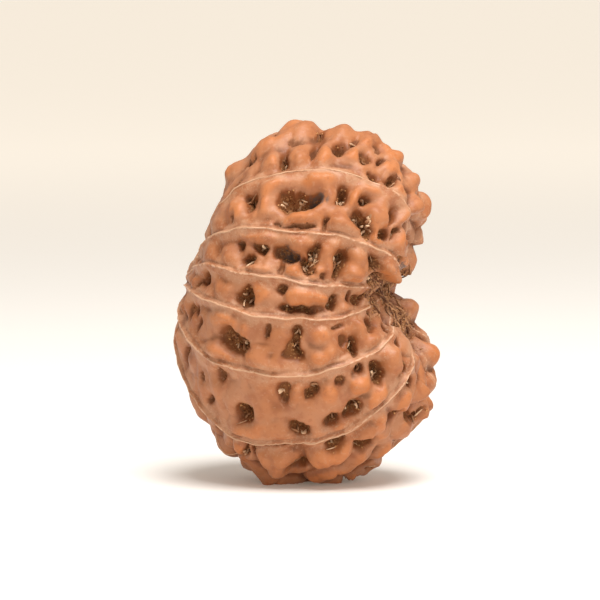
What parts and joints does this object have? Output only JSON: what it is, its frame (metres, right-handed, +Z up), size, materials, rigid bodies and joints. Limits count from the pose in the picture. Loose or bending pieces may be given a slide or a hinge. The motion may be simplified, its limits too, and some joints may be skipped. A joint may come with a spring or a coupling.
{
  "type": "thirteen mukhi rudraksha bead",
  "caption": "Kidney-shaped dried fruit stone with raised seams from pole to pole, knobbed and pitted fields between them, and a string hole along its axis.",
  "frame": {"origin": "middle of the bead's box, on the surface that it stands on", "axes": "+Z up along the bead's long cross-section, +X towards the dimpled stem end, -Y towards the side that the picture shows; the string hole runs level, turned 13.5 degrees from +X towards -Y"},
  "size_m": [0.02, 0.0192, 0.0268],
  "materials": {
    "dried_stone": "woody, reddish brown, dry with a soft satin sheen on the knobs and dark fibre in the pits"
  },
  "bodies": {
    "root": {"rudraksha_bead": "dried_stone"}
  },
  "joints": []
}
